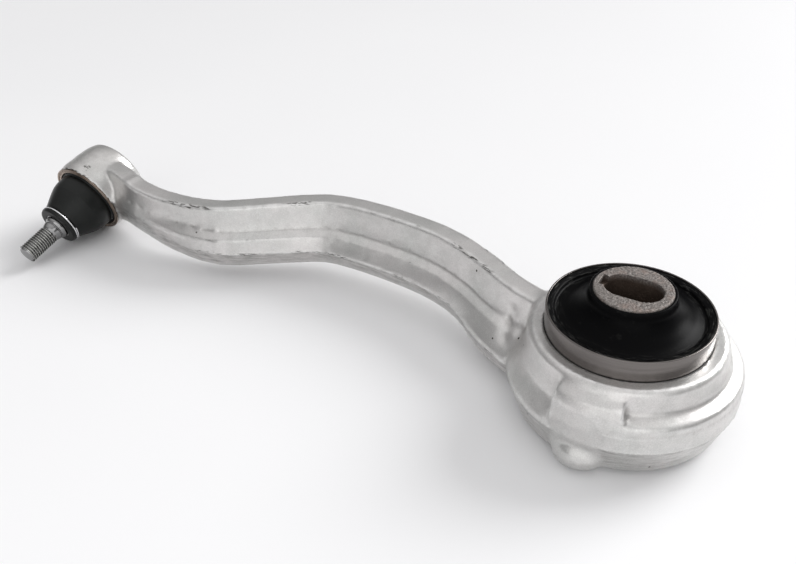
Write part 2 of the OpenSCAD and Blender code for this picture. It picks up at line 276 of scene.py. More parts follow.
# %% Material: forged aluminium
def forged_aluminium():
    made, tree, shader, place = begin_material("forged_aluminium", Metallic=0.78, IOR=1.45)
    # cool and warm clouds, a few centimetres across, under finer stains and grain
    clouds = cloud(tree, place, 30, 4, 0.62)
    tone = tint(tree, ramp(tree, clouds, (0.38, 0.0), (0.64, 1.0)), (0.60, 0.60, 0.585), (0.69, 0.67, 0.66))
    blotch = ramp(tree, cloud(tree, place, 170, 5, 0.72), (0.40, 0.0), (0.68, 1.0))
    tone = tint(tree, maths(tree, "MULTIPLY", blotch, 0.28), tone, (0.45, 0.44, 0.43))
    grain = cloud(tree, place, 1700, 3, 0.7)
    tone = tint(tree, ramp(tree, grain, (0.50, 0.0), (0.74, 0.5)), tone, (0.86, 0.85, 0.84))
    tone = tint(tree, ramp(tree, grain, (0.26, 0.45), (0.42, 0.0)), tone, (0.38, 0.37, 0.36))
    # rubbed corners are bright, and in places they are nicked and dark
    edges = add(tree, "ShaderNodeAttribute", attribute_name="edge_wear").outputs["Fac"]
    rubbed = maths(tree, "MULTIPLY", edges, ramp(tree, cloud(tree, place, 240, 4, 0.6), (0.35, 0.0), (0.6, 0.5)))
    tone = tint(tree, rubbed, tone, (0.88, 0.88, 0.87))
    nick_patch = ramp(tree, cloud(tree, place, 34, 3, 0.6), (0.53, 0.0), (0.58, 1.0))
    drawn = add(tree, "ShaderNodeMapping", {"Vector": place, "Scale": (0.12, 0.12, 1.0)}).outputs["Vector"]
    nick_grain = ramp(tree, cloud(tree, drawn, 1900, 3, 0.6), (0.48, 0.0), (0.55, 0.9))
    nicked = add(tree, "ShaderNodeAttribute", attribute_name="edge_nicks").outputs["Fac"]
    nicks = maths(tree, "MULTIPLY", maths(tree, "MULTIPLY", nicked, nick_patch), nick_grain, True)
    # painted shade: grey darkening in the hollows and on the housing's upward faces, stronger where the blotches are
    hollow = add(tree, "ShaderNodeAttribute", attribute_name="painted_hollow_shade").outputs["Fac"]
    shade_strength = ramp(tree, blotch, (0.0, 0.26), (1.0, 0.52))
    tone = tint(tree, maths(tree, "MULTIPLY", hollow, shade_strength), tone, (0.34, 0.325, 0.31))
    # the trimmed flash leaves a torn band just under the parting ridge, and the same band carries painted shade under
    # the ridge
    trim_and_shade = add(tree, "ShaderNodeAttribute", attribute_name="trim_and_crease_shade").outputs["Fac"]
    torn_and_shaded = ramp(tree, cloud(tree, drawn, 900, 4, 0.65), (0.42, 0.10), (0.66, 0.60))
    torn_and_shaded = maths(tree, "MULTIPLY", trim_and_shade, torn_and_shaded)
    # small dark specks, some everywhere
    cells = add(tree, "ShaderNodeTexVoronoi", {"Vector": place, "Scale": 150, "Randomness": 1.0})
    chosen = add(tree, "ShaderNodeSeparateColor", {"Color": cells.outputs["Color"]}).outputs["Red"]
    small = maths(tree, "LESS_THAN", cells.outputs["Distance"], 0.085)
    specks = maths(tree, "MULTIPLY", small, maths(tree, "GREATER_THAN", chosen, 0.90))
    # short dark knocks on the housing, where a tool has slipped
    knocked = add(tree, "ShaderNodeAttribute", attribute_name="knocks").outputs["Fac"]
    marks = maths(tree, "MULTIPLY", knocked, ramp(tree, cloud(tree, place, 620, 3, 0.6), (0.53, 0.0), (0.58, 0.9)))
    dark = maths(tree, "MAXIMUM", maths(tree, "MAXIMUM", nicks, torn_and_shaded), maths(tree, "MAXIMUM", specks, marks), True)
    tree.links.new(tint(tree, dark, tone, (0.085, 0.08, 0.075)), shader.inputs["Base Color"])
    rough = add(tree, "ShaderNodeMapRange", {"Value": blotch, "To Min": 0.29, "To Max": 0.43})
    tree.links.new(rough.outputs["Result"], shader.inputs["Roughness"])
    height = maths(tree, "ADD", maths(tree, "ADD", grain, maths(tree, "MULTIPLY", blotch, 0.8)),
                   maths(tree, "MULTIPLY", dark, -1.5))
    bump(tree, shader, height, 0.00008, 0.55)
    return made


# %% [markdown]
# ## Turned and rolled steel
# Steel that was cut on a lathe keeps fine rings that run round its axis. A noise that is stretched
# flat along the two cross directions changes only along the axis, which draws just such rings.

# %% Material: turned steel and its relatives
def ringed(tree, place, along, scale):
    """Noise that changes only along one direction: the rings that a lathe leaves."""
    squeeze = tuple(1.0 if i == along else 0.02 for i in range(3))
    turned = add(tree, "ShaderNodeMapping", {"Vector": place, "Scale": squeeze}).outputs["Vector"]
    return cloud(tree, turned, scale, 3, 0.6)


def stud_place(tree, place):
    """Object coordinates turned so that Z runs along the stud."""
    back = STUD.inverted()
    return add(tree, "ShaderNodeMapping", {"Vector": place, "Location": back.translation,
               "Rotation": back.to_euler("XYZ")}, vector_type="POINT").outputs["Vector"]


def turned_steel(name, low, high, rough, rings=900, on_stud=False, stain=None):
    made, tree, shader, place = begin_material(name, Metallic=1.0)
    spot = stud_place(tree, place) if on_stud else place
    lines = ringed(tree, spot, 2, rings)
    patches = cloud(tree, spot, 55, 3, 0.6)
    colour = tint(tree, lines, low, high)
    if stain:
        colour = tint(tree, ramp(tree, patches, (0.42, 0.0), (0.72, 0.8)), colour, stain)
    tree.links.new(colour, shader.inputs["Base Color"])
    worn = maths(tree, "MULTIPLY_ADD", patches, 0.12)
    worn.node.inputs[2].default_value = rough - 0.06
    tree.links.new(worn, shader.inputs["Roughness"])
    bump(tree, shader, lines, 0.00002, 0.5)
    return made


# %% [markdown]
# ## Coarse metal of the inner sleeve
# The inner sleeve's end is left rough, with a pinkish grey, grainy face, and its slot has a thin brown
# film of old rust. The brown is placed by distance from the axis, so it stays inside the slot.

# %% Material: inner sleeve
def inner_sleeve_metal():
    made, tree, shader, place = begin_material("inner_sleeve_metal", Metallic=0.75)
    grit = cloud(tree, place, 1100, 4, 0.7)
    patches = cloud(tree, place, 260, 3, 0.6)
    face = tint(tree, ramp(tree, grit, (0.40, 0.0), (0.60, 1.0)), (0.12, 0.108, 0.10), (0.30, 0.275, 0.26))
    face = tint(tree, ramp(tree, patches, (0.5, 0.0), (0.75, 0.7)), face, (0.24, 0.185, 0.16))
    inside = add(tree, "ShaderNodeAttribute", attribute_name="slot_wall").outputs["Fac"]
    film = tint(tree, patches, (0.07, 0.048, 0.036), (0.17, 0.13, 0.105))
    tree.links.new(tint(tree, inside, face, film), shader.inputs["Base Color"])
    rough = add(tree, "ShaderNodeMapRange", {"Value": grit, "To Min": 0.38, "To Max": 0.7})
    tree.links.new(rough.outputs["Result"], shader.inputs["Roughness"])
    bump(tree, shader, grit, 0.0004, 0.9)
    return made


# %% [markdown]
# ## Rubber and plastic
# The bush rubber is dark and a little shiny, with faint dust; the boot is matt and slightly green.
# Both have a soft grain from their moulds. The hidden plastic rings share one maker of moulded plastic.

# %% Material: rubber and moulded plastic
def rubber(name, colour, rough, dust_and_shade, grain=900, on_stud=False, shine=0.5, scuffed=(0.0, 1.0)):
    """Moulded rubber; scuffed gives the radii, in metres, between which dusty arcs run round the axis."""
    made, tree, shader, place = begin_material(name, IOR=1.5, Specular_IOR_Level=shine)
    spot = stud_place(tree, place) if on_stud else place
    rings = ringed(tree, spot, 2, 500)
    fine = cloud(tree, spot, grain, 3, 0.6)
    xyz = add(tree, "ShaderNodeSeparateXYZ", {"Vector": spot}).outputs
    flat = add(tree, "ShaderNodeCombineXYZ", {"X": xyz["X"], "Y": xyz["Y"]}).outputs[0]
    radius = add(tree, "ShaderNodeVectorMath", {0: flat}, operation="LENGTH").outputs["Value"]
    angle = maths(tree, "ARCTAN2", xyz["Y"], xyz["X"])
    wound = add(tree, "ShaderNodeCombineXYZ", {
        "X": maths(tree, "MULTIPLY", radius, 1500), "Y": maths(tree, "MULTIPLY", angle, 5),
        "Z": maths(tree, "MULTIPLY", xyz["Z"], 300)}).outputs[0]
    arcs = ramp(tree, cloud(tree, wound, 1, 4, 0.7), (0.54, 0.0), (0.72, 1.0))
    near = add(tree, "ShaderNodeMapRange", {"Value": radius, "From Min": scuffed[0], "From Max": scuffed[1]},
               interpolation_type="SMOOTHSTEP").outputs["Result"]
    dusty = maths(tree, "MAXIMUM", ramp(tree, cloud(tree, spot, 190, 5, 0.75), (0.60, 0.0), (0.78, dust_and_shade)),
                  maths(tree, "MULTIPLY", arcs, maths(tree, "MULTIPLY", near, 0.55)))
    tree.links.new(tint(tree, dusty, colour, (0.17, 0.17, 0.16)), shader.inputs["Base Color"])
    sheen = maths(tree, "MULTIPLY_ADD", dusty, 1.2)
    sheen.node.inputs[2].default_value = rough
    tree.links.new(sheen, shader.inputs["Roughness"])
    bump(tree, shader, maths(tree, "ADD", fine, maths(tree, "MULTIPLY", rings, 0.6)), 0.00004, 0.5)
    return made


def moulded_plastic(name, colour, rough=0.5):
    made, tree, shader, place = begin_material(name, IOR=1.48)
    grain = cloud(tree, place, 1400, 3, 0.6)
    flow = cloud(tree, place, 70, 3, 0.5)
    lighter = tuple(min(1.0, c * 1.15 + 0.01) for c in colour)
    tree.links.new(tint(tree, flow, colour, lighter), shader.inputs["Base Color"])
    worn = maths(tree, "MULTIPLY_ADD", grain, 0.15)
    worn.node.inputs[2].default_value = rough - 0.07
    tree.links.new(worn, shader.inputs["Roughness"])
    bump(tree, shader, grain, 0.00003, 0.5)
    return made


MATERIALS = {
    "forged_aluminium": forged_aluminium(),
    "sleeve_steel": turned_steel("sleeve_steel", (0.13, 0.119, 0.113), (0.22, 0.203, 0.195), 0.24, 700),
    "inner_sleeve_metal": inner_sleeve_metal(),
    "bush_rubber": rubber("bush_rubber", (0.0022, 0.0022, 0.0025), 0.32, 0.08, shine=0.04,
                          scuffed=(27 * mm, 35 * mm)),
    "boot_rubber": rubber("boot_rubber", (0.005, 0.006, 0.0055), 0.36, 0.10, on_stud=True, shine=0.28,
                          scuffed=(18 * mm, 26 * mm)),
    "stud_steel": turned_steel("stud_steel", (0.24, 0.24, 0.24), (0.36, 0.36, 0.36), 0.13, 1500, True),
    "rim_steel": turned_steel("rim_steel", (0.24, 0.18, 0.14), (0.58, 0.48, 0.41), 0.30, 2600, True,
                              (0.05, 0.035, 0.025)),
    "clip_wire": turned_steel("clip_wire", (0.78, 0.78, 0.80), (0.92, 0.92, 0.93), 0.20, 400, True),
    "cover_steel": turned_steel("cover_steel", (0.46, 0.46, 0.47), (0.60, 0.60, 0.61), 0.34, 1200, True,
                                (0.30, 0.26, 0.22)),
    "ball_steel": turned_steel("ball_steel", (0.62, 0.62, 0.64), (0.72, 0.72, 0.74), 0.12, 600, True),
    # painted shade: near-black for the ring that stands for the shade in the sleeve's press gap
    "painted_gap_shade": moulded_plastic("painted_gap_shade", (0.012, 0.011, 0.010), 0.55),
    "cage_plastic": moulded_plastic("cage_plastic", (0.10, 0.10, 0.11)),
    "channel_plastic": moulded_plastic("channel_plastic", (0.05, 0.05, 0.055)),
    "stop_plastic": moulded_plastic("stop_plastic", (0.62, 0.58, 0.48), 0.45),
    "shell_plastic": moulded_plastic("shell_plastic", (0.78, 0.78, 0.72), 0.35),
}
print(len(MATERIALS), "materials")

# %% Material: the table
def table_paint():
    made, tree, shader, place = begin_material("table_paint", Roughness=0.6)
    soft = cloud(tree, place, 3, 2, 0.5)
    tree.links.new(tint(tree, soft, (0.86, 0.86, 0.87), (0.90, 0.90, 0.905)), shader.inputs["Base Color"])
    return made


floor.data.materials.append(table_paint())

# %% [markdown]
# ## Sky of the studio
# The world stands for the white room: brightest overhead, where the ceiling panels hang, dark a little
# way up the walls, and pale again down by the floor. A plain grey world would be simpler, but metal shows
# what it mirrors, and needs light and dark to show. It depends only on the direction in the room, so
# every view gets the same light.

# %% Sky
world = bpy.data.worlds.new("studio")
world.use_nodes = True
sky = world.node_tree
direction = add(sky, "ShaderNodeTexCoord").outputs["Generated"]
height = add(sky, "ShaderNodeSeparateXYZ", {"Vector": direction}).outputs["Z"]
glow = ramp(sky, height, (0.0, 0.78), (0.08, 0.50), (0.20, 0.18), (0.40, 0.22), (0.95, 0.95))
sky.links.new(glow, sky.nodes["Background"].inputs["Strength"])
sky.nodes["Background"].inputs["Color"].default_value = (0.99, 0.985, 0.99, 1)
bpy.context.scene.world = world

# %% [markdown]
# ## Helpers for turned pieces
# A turned piece is a profile, drawn as radius and height, spun about its axis. `fillet` rounds each
# corner of the profile with a short arc, because real edges always catch a thin line of light.

# %% Helpers: profiles, spinning and finishing a piece
def fillet(points, steps=4):
    """Closed profile from (radius, height, corner) points in mm, each corner rounded by its size."""
    out = []
    for i, (r, z, corner) in enumerate(points):
        here = Vector((r, z))
        back = Vector(points[i - 1][:2]) - here
        ahead = Vector(points[(i + 1) % len(points)][:2]) - here
        if corner <= 0:
            out.append(here)
            continue
        cut = min(corner, 0.45 * back.length, 0.45 * ahead.length)
        a, b = here + back.normalized() * cut, here + ahead.normalized() * cut
        for k in range(steps + 1):
            s = k / steps
            out.append(a * (1 - s) ** 2 + 2 * here * s * (1 - s) + b * s * s)
    return out


def refine(profile, longest=1.2):
    """Splits long stretches of a closed profile, so that bends and noise have points to move."""
    out = []
    for i, here in enumerate(profile):
        ahead = profile[(i + 1) % len(profile)]
        cuts = max(1, math.ceil((ahead - here).length / longest))
        out += [here.lerp(ahead, k / cuts) for k in range(cuts)]
    return out


def finish_mesh(name, builder, smooth=math.radians(32)):
    """Turns a bmesh into an object with outward normals and soft shading up to an angle."""
    bmesh.ops.remove_doubles(builder, verts=builder.verts, dist=1e-7)
    bmesh.ops.recalc_face_normals(builder, faces=builder.faces)
    for face in builder.faces:
        face.smooth = True
    for edge in builder.edges:
        edge.smooth = len(edge.link_faces) == 2 and edge.calc_face_angle(0) < smooth
    mesh = bpy.data.meshes.new(name)
    builder.to_mesh(mesh)
    builder.free()
    made = bpy.data.objects.new(name, mesh)
    bpy.context.scene.collection.objects.link(made)
    return made


def spin(name, profile, along, turns=160, smooth=math.radians(32)):
    """Solid of revolution from a closed profile in mm, on the axis of a frame."""
    builder = bmesh.new()
    rows = []
    for k in range(turns):
        angle = 2 * math.pi * k / turns
        c, s = math.cos(angle) * mm, math.sin(angle) * mm
        rows.append([builder.verts.new(along @ Vector((p.x * c, p.x * s, p.y * mm))) for p in profile])
    for k in range(turns):
        here, ahead = rows[k], rows[(k + 1) % turns]
        for i in range(len(profile)):
            j = (i + 1) % len(profile)
            if max(profile[i].x, profile[j].x) < 1e-6:
                continue
            corners = [here[i], ahead[i], ahead[j], here[j]]
            if profile[i].x < 1e-6:
                corners = [here[i], ahead[j], here[j]]
            elif profile[j].x < 1e-6:
                corners = [here[i], ahead[i], here[j]]
            builder.faces.new(corners)
    return finish_mesh(name, builder, smooth)


def dress(piece, body, finish, *stands_for):
    """Material, body and replaced CAD nodes of a finished piece."""
    piece.data.materials.clear()
    piece.data.materials.append(MATERIALS[finish])
    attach(piece, body)
    if stands_for:
        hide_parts(*stands_for)
    print(f"{piece.name}: {len(piece.data.polygons)} faces, rides on {body}")
    return piece


# %% [markdown]
# ## The forging
# The bar, the eye and the joint housing are one forged piece, so nothing on it meets at a knife edge.
# The CAD node has the right shape but sharp inner corners. It could be rebuilt by hand as a
# subdivision surface, or its corners could be bevelled one by one. Instead a copy is turned into an
# even skin of small squares, and the skin is relaxed: hollows are filled quickly, which grows the
# fillets of a forging, while outer corners are only eased. Machined faces are pinned so they stay true.

# %% Even skin over the forging
voxel = 0.94 * mm
skin_mesh = nodes["arm_forging"].data.copy()
builder = bmesh.new()
builder.from_mesh(skin_mesh)
bmesh.ops.remove_doubles(builder, verts=builder.verts, dist=1e-6)
builder.to_mesh(skin_mesh)
builder.free()
skin = bpy.data.objects.new("forging_skin", skin_mesh)
bpy.context.scene.collection.objects.link(skin)
remesh = skin.modifiers.new("even", "REMESH")
remesh.mode = "VOXEL"
remesh.voxel_size = voxel
bpy.context.view_layer.update()
even = bpy.data.meshes.new_from_object(skin.evaluated_get(bpy.context.evaluated_depsgraph_get()))
bpy.data.objects.remove(skin)
print("skin:", len(even.vertices), "points,", len(even.polygons), "squares")

# %% Neighbours, normals and smoothing on the skin
def read_points(mesh):
    flat = np.empty(len(mesh.vertices) * 3, np.float32)
    mesh.vertices.foreach_get("co", flat)
    return flat.reshape(-1, 3).astype(float)


def read_normals(mesh):
    flat = np.empty(len(mesh.vertices) * 3, np.float32)
    mesh.vertex_normals.foreach_get("vector", flat)
    return flat.reshape(-1, 3).astype(float)


def write_points(mesh, points):
    mesh.vertices.foreach_set("co", points.astype(np.float32).ravel())
    mesh.update()


edge_ends = np.empty(len(even.edges) * 2, np.int32)
even.edges.foreach_get("vertices", edge_ends)
edge_a, edge_b = edge_ends.reshape(-1, 2).T
count = len(even.vertices)
degree = np.bincount(edge_a, minlength=count) + np.bincount(edge_b, minlength=count)
degree = np.maximum(degree, 1)


def around(values):
    """Mean of each point's neighbours, for a column of numbers or for points."""
    if values.ndim == 1:
        total = np.bincount(edge_a, values[edge_b], count) + np.bincount(edge_b, values[edge_a], count)
        return total / degree
    return np.stack([around(values[:, i]) for i in range(values.shape[1])], 1)


def spread(values, rounds):
    """Lets each value run half-way to its neighbours' mean, once for each round."""
    for _ in range(rounds):
        values = 0.5 * values + 0.5 * around(values)
    return values


def smoothstep(low, high, value):
    share = np.clip((value - low) / (high - low), 0, 1)
    return share * share * (3 - 2 * share)


def place_on_stud(points):
    """Distance from the stud's axis and place along it, for points in the model's frame."""
    back = np.array(STUD.inverted())
    local = points @ back[:3, :3].T + back[:3, 3]
    return np.hypot(local[:, 0], local[:, 1]), local[:, 2]


points = read_points(even)
from_bush = np.hypot(points[:, 0], points[:, 1])
eye_top = float(points[from_bush < sleeve_r + 5 * mm][:, 2].max())
eye_bottom = float(points[from_bush < sleeve_r + 5 * mm][:, 2].min())
from_stud, along_stud = place_on_stud(points)
in_joint = (from_stud < ring_r + 0.4 * mm) & (along_stud > cover_low - 4 * mm)
machined = (
    (from_bush < sleeve_r + 1.2 * mm)
    | ((from_bush < sleeve_r + 5.5 * mm) & (points[:, 2] > eye_top - 0.9 * mm))
    | ((from_bush < sleeve_r + 8 * mm) & (points[:, 2] < eye_bottom + 0.9 * mm))
    | in_joint)
free = 1.0 - machined.astype(float)
for _ in range(3):
    free = np.minimum(free, around(free) + 0.15)
print(f"eye from {eye_bottom / mm:.1f} to {eye_top / mm:.1f} mm, {int(machined.sum())} pinned points")

# %% Relax: grow fillets, ease outer corners, then iron the long faces
def relax(rounds, hollow, corner):
    """Moves points towards their neighbours' mean, by one share in hollows and another on corners."""
    global points
    for _ in range(rounds):
        step = around(points) - points
        write_points(even, points)
        normal = read_normals(even)
        outward = (step * normal).sum(1)
        share = np.where(outward > 0, hollow, corner) * free
        points = points + step * share[:, None]


def iron(rounds, flattest, where=1.0):
    """Irons only faces that are nearly flat already, so corners and fillets keep their shape."""
    global points
    for _ in range(rounds):
        write_points(even, points)
        normal = read_normals(even)
        step = around(points) - points
        outward = (step * normal).sum(1)
        outward = spread(outward, 2)
        gentle = 1 - smoothstep(0.6 * flattest, flattest, np.abs(outward))
        points = points + step * (0.5 * gentle * free * where)[:, None]


relax(21, 0.5, 0.14)
iron(48, 0.0145 * mm)
on_bar = smoothstep(58 * mm, 74 * mm, from_bush) * smoothstep(30 * mm, 38 * mm, from_stud)
iron(66, 0.027 * mm, on_bar)
write_points(even, points)
print("relaxed", count, "points")

# %% [markdown]
# ### Pocket and step
# A die leaves a shallow pocket where the ribs run into the eye, and a low step across the bar just
# behind the housing. Both could be cut with Booleans, but their edges would then be as sharp as a saw
# cut. Here each is a smooth hump of numbers on the skin, which pushes its points in or out.

# %% Pocket where the ribs run into the eye, and the low step behind the housing
pocket_radius, pocket_width, pocket_depth = 54.8 * mm, 3.0 * mm, 1.3
step_place, step_width, step_height = 304 * mm, 2.6 * mm, 0.7
softened = 1.15  # smoothing wears the humps down, and this gives their height back
normal = read_normals(even)
from_bush = np.hypot(points[:, 0], points[:, 1])
bearing = np.degrees(np.arctan2(points[:, 1], points[:, 0]))
near_side = smoothstep(-6, 0, bearing) * (1 - smoothstep(16, 24, bearing))
near_side *= smoothstep(0.1, 0.4, normal[:, 1])
near_side *= smoothstep(-13 * mm, -9 * mm, points[:, 2]) * (1 - smoothstep(1 * mm, 5 * mm, points[:, 2]))
pocket = np.exp(-((from_bush - pocket_radius) / pocket_width) ** 2)
step_up = np.exp(-((points[:, 0] - step_place) / step_width) ** 2) * smoothstep(0.55, 0.92, normal[:, 2])
lift = spread(step_height * step_up * free - pocket_depth * pocket * near_side, 8)
points += normal * (softened * lift * mm)[:, None]
write_points(even, points)
print("pocket", round(float(lift.min()), 2), "mm, step", round(float(lift.max()), 2), "mm")

# %% [markdown]
# ### True faces and the parting line
# The lathe leaves a flat land around the bush and a straight bore, so points near those faces are put
# exactly on them. Where the two forging dies met, the flash was trimmed off and a low
# ridge is left. The dies part where the skin turns from facing up to facing down.

# %% Land, bore and parting ridge
def true_faces(points):
    radius = np.hypot(points[:, 0], points[:, 1])
    bore = radius < sleeve_r + 0.75 * mm
    scale = np.where(bore, (sleeve_r + 0.02 * mm) / np.maximum(radius, 1e-9), 1.0)
    points[:, 0] *= scale
    points[:, 1] *= scale
    land = (points[:, 2] > eye_top - 0.6 * mm) & (radius < sleeve_r + 5.2 * mm)
    points[land, 2] = eye_top
    foot = (points[:, 2] < eye_bottom + 0.6 * mm) & (radius < sleeve_r + 9 * mm)
    points[foot, 2] = eye_bottom
    return points


points = true_faces(points)
write_points(even, points)
normal = read_normals(even)
level = spread(normal[:, 2].copy(), 4)
from_stud, along_stud = place_on_stud(points)
below_land = points[:, 2] < np.where(np.hypot(points[:, 0], points[:, 1]) < sleeve_r + 20 * mm, -6 * mm, 0)
lug_reach, lug_bearing = 41 * mm, math.radians(87)  # the eye's lug, as places about the bush
lug_x, lug_y = lug_reach * math.cos(lug_bearing), lug_reach * math.sin(lug_bearing)
off_lug = smoothstep(12.5 * mm, 15 * mm, np.hypot(points[:, 0] - lug_x, points[:, 1] - lug_y))
below_land = below_land * off_lug
ridge = (1 - smoothstep(0.02, 0.16, np.abs(level))) * below_land * free * (from_stud > ring_r)
points += normal * (0.40 * mm * ridge)[:, None]
# downward faces just under the ridge: real torn trim texture, and painted shade where the ridge overhangs
trim_and_shade_band = smoothstep(-0.42, -0.22, level) - smoothstep(-0.14, -0.02, level)
trim_and_shade_band = spread(trim_and_shade_band * below_land * free * (from_stud > ring_r), 1)

# a forged skin is never quite flat: slow waves, well under a tenth of a millimetre deep
waves = np.array([noise.noise(Vector(p) * 90) + 0.5 * noise.noise(Vector(p) * 260) for p in points])
points += normal * (0.07 * mm * waves * free)[:, None]
points = np.clip(points, np.array(cad_box[0]), np.array(cad_box[1]))
write_points(even, points)
print("ridge points", int((ridge > 0.5).sum()))

# %% Corner attribute for wear, and the finished forging
step = around(points) - points
corner = -(step * read_normals(even)).sum(1)
corner = spread(corner, 2)
wear = smoothstep(0.024 * mm, 0.072 * mm, corner)
nicked = smoothstep(0.032 * mm, 0.060 * mm, corner) * smoothstep(18 * mm, 26 * mm, from_bush - sleeve_r)
# painted shade: concave hollows, and the upward faces of the joint housing, are marked for darkening
dust_and_shade = smoothstep(0.015 * mm, 0.06 * mm, -corner) * free * (0.3 + 0.7 * off_lug)
facing_up = np.clip(1.3 * read_normals(even)[:, 2], 0, 1)
dust_and_shade = np.maximum(dust_and_shade, 0.8 * (1 - smoothstep(21 * mm, 27 * mm, from_stud)) * (along_stud < ring_low) * facing_up)
stud_way = STUD.col[2].xyz.normalized()
crown = (Vector((0, 0, 1)) - stud_way * stud_way.z).normalized()
knocks = np.zeros(count)
for lean, along_s, spread in ((-0.32, 4.0, 3.2), (0.10, 6.5, 2.4), (0.55, 3.0, 2.2)):
    way = Matrix.Rotation(lean, 3, stud_way) @ crown
    side = (points - np.array(STUD.translation)) @ np.array(way.cross(stud_way))
    gap = np.hypot(side, along_stud - (ring_low - along_s * mm))
    facing = (points - np.array(STUD.translation)) @ np.array(way) > 0
    knocks = np.maximum(knocks, (1 - smoothstep(0.5 * spread * mm, spread * mm, gap)) * facing)
marks = {"edge_wear": wear, "edge_nicks": nicked, "painted_hollow_shade": dust_and_shade, "trim_and_crease_shade": trim_and_shade_band, "knocks": knocks}
for name, values in marks.items():
    even.attributes.new(name, "FLOAT", "POINT").data.foreach_set("value", values.astype(np.float32))
even.polygons.foreach_set("use_smooth", [True] * len(even.polygons))
forging = bpy.data.objects.new("forged_arm", even)
bpy.context.scene.collection.objects.link(forging)
dress(forging, "arm", "forged_aluminium", "arm_forging")
print("worn share", round(float(wear.mean()), 4))

# %% [markdown]
# ## Outer sleeve of the bush
# A steel tube pressed into the eye. Its top edge is turned round and catches a bright line, so it is
# spun from a profile with small corner arcs instead of keeping the CAD tube's sharp edge.

# %% Outer sleeve
r_out, r_shell = sleeve_r / mm - 0.02, girth("bush_window_cage", BUSH) / mm + 0.02
z_low, z_high = sleeve_low / mm, sleeve_top / mm
curl, lip_wall = 1.0, 0.85
sleeve_profile = fillet([
    (r_out, z_low, 0.8), (r_out, z_high, 0.5), (r_out - lip_wall, z_high, 0.25),
    (r_out - lip_wall, z_high - 1.2, 0.2), (r_shell, z_high - 2.6, 0.3), (r_shell, z_low + curl, 0.2),
    (r_shell - curl, z_low + curl, 0.2), (r_shell - curl, z_low, 0.4)])
outer_sleeve = spin("outer_sleeve", refine(sleeve_profile, 3), BUSH, 220)
dress(outer_sleeve, "arm", "sleeve_steel", "bush_outer_sleeve")

# %% Painted shade: a near-black ring in the gap between sleeve and land
z_land = eye_top / mm
gap_shade_ring = spin("gap_shade_ring", fillet([
    (r_out + 0.03, z_land - 0.5, 0), (r_out + 0.42, z_land - 0.5, 0), (r_out + 0.42, z_land + 0.03, 0.1),
    (r_out + 0.03, z_land + 0.12, 0.08)]), BUSH, 220)
dress(gap_shade_ring, "arm", "painted_gap_shade")

# %% [markdown]
# ## Bush rubber
# The rubber is bonded between the sleeves. Seen from an end it is a shallow dish: a sealing lip at the
# rim, a trough, and a collar that climbs the inner sleeve. Inside, it holds the cage, and two chambers
# for the fluid are cut out of it. A spun solid gives the dish, and a Boolean cuts the chambers.

# %% Bush rubber: spun body
cage_low, cage_top = (v / mm for v in reach("bush_window_cage", BUSH))
cage_bore = girth("bush_window_cage", BUSH, min) / mm
stop_low, stop_top = (v / mm for v in reach("bush_travel_stop", BUSH))
stop_seat = core_r / mm + 2.06
r_core = core_r / mm + 0.05
r_lip = r_out - lip_wall - 0.02
collar = 1.1


def dish(edge, climb):
    """Outline of one end of the rubber, from the inner sleeve to the rim, for the +Z end."""
    return [
        (r_core, climb, 0.2), (r_core + collar, climb, 0.5),
        (r_core + collar + 0.5, climb - 4.5, 1.5), (r_core + 5.0, climb - 8.2, 4),
        (r_core + 10.5, edge - 1.6, 4), (r_shell - 3.0, edge - 2.6, 1.2),
        (r_shell - 2.2, edge - 2.2, 0.4), (r_shell - 1.6, edge - 1.0, 0.5),
        (r_lip, edge - 0.35, 0.45), (r_lip, edge - 1.25, 0.2), (r_shell - 0.02, edge - 2.6, 0.2)]


def turned_over(outline):
    return [(r, -z, corner) for r, z, corner in reversed(outline)]


seat = [(r_shell - 0.02, cage_top, 0), (cage_bore, cage_top, 0), (cage_bore, cage_low, 0),
        (r_shell - 0.02, cage_low, 0)]
stop_groove = [(r_core, stop_low - 0.5, 0), (stop_seat, stop_low - 0.5, 0), (stop_seat, stop_top + 0.5, 0),
               (r_core, stop_top + 0.5, 0)]
rubber_outline = (dish(z_high, core_top / mm - 0.8) + seat
                  + turned_over(dish(-z_low - 8, -core_low / mm - 1.2)) + stop_groove)
bush_rubber = spin("bush_rubber_body", refine(fillet(rubber_outline), 1.6), BUSH, 200)
print(len(rubber_outline), "corners in the outline")

# %% Bush rubber: cut the two fluid chambers
def sector(r_in, r_far, low, high, first, last, steps=24):
    """Closed block between two radii, two heights and two angles, in mm and degrees."""
    builder = bmesh.new()
    rows = []
    for k in range(steps + 1):
        angle = math.radians(first + (last - first) * k / steps)
        rows.append([builder.verts.new((r * math.cos(angle) * mm, r * math.sin(angle) * mm, z * mm))
                     for r, z in ((r_in, low), (r_far, low), (r_far, high), (r_in, high))])
    for here, ahead in zip(rows, rows[1:]):
        for i in range(4):
            builder.faces.new((here[i], ahead[i], ahead[(i + 1) % 4], here[(i + 1) % 4]))
    builder.faces.new(rows[0])
    builder.faces.new(rows[-1][::-1])
    return builder


def applied(piece):
    """Plain mesh of a piece with its modifiers applied, in place of the old mesh."""
    bpy.context.view_layer.update()
    result = bpy.data.meshes.new_from_object(piece.evaluated_get(bpy.context.evaluated_depsgraph_get()))
    piece.modifiers.clear()
    piece.data = result
    return piece


chamber_z, chamber_half_angle = stop_top + 5.5, 50
for side in (0, 180):
    cutter = finish_mesh("chamber", sector(stop_seat - 0.06, cage_bore + 1, -chamber_z, chamber_z,
                                           side - chamber_half_angle, side + chamber_half_angle))
    cut = bush_rubber.modifiers.new("chamber", "BOOLEAN")
    cut.object, cut.operation, cut.solver = cutter, "DIFFERENCE", "EXACT"
    applied(bush_rubber)
    bpy.data.objects.remove(cutter)
dress(bush_rubber, "arm", "bush_rubber", "bush_rubber")

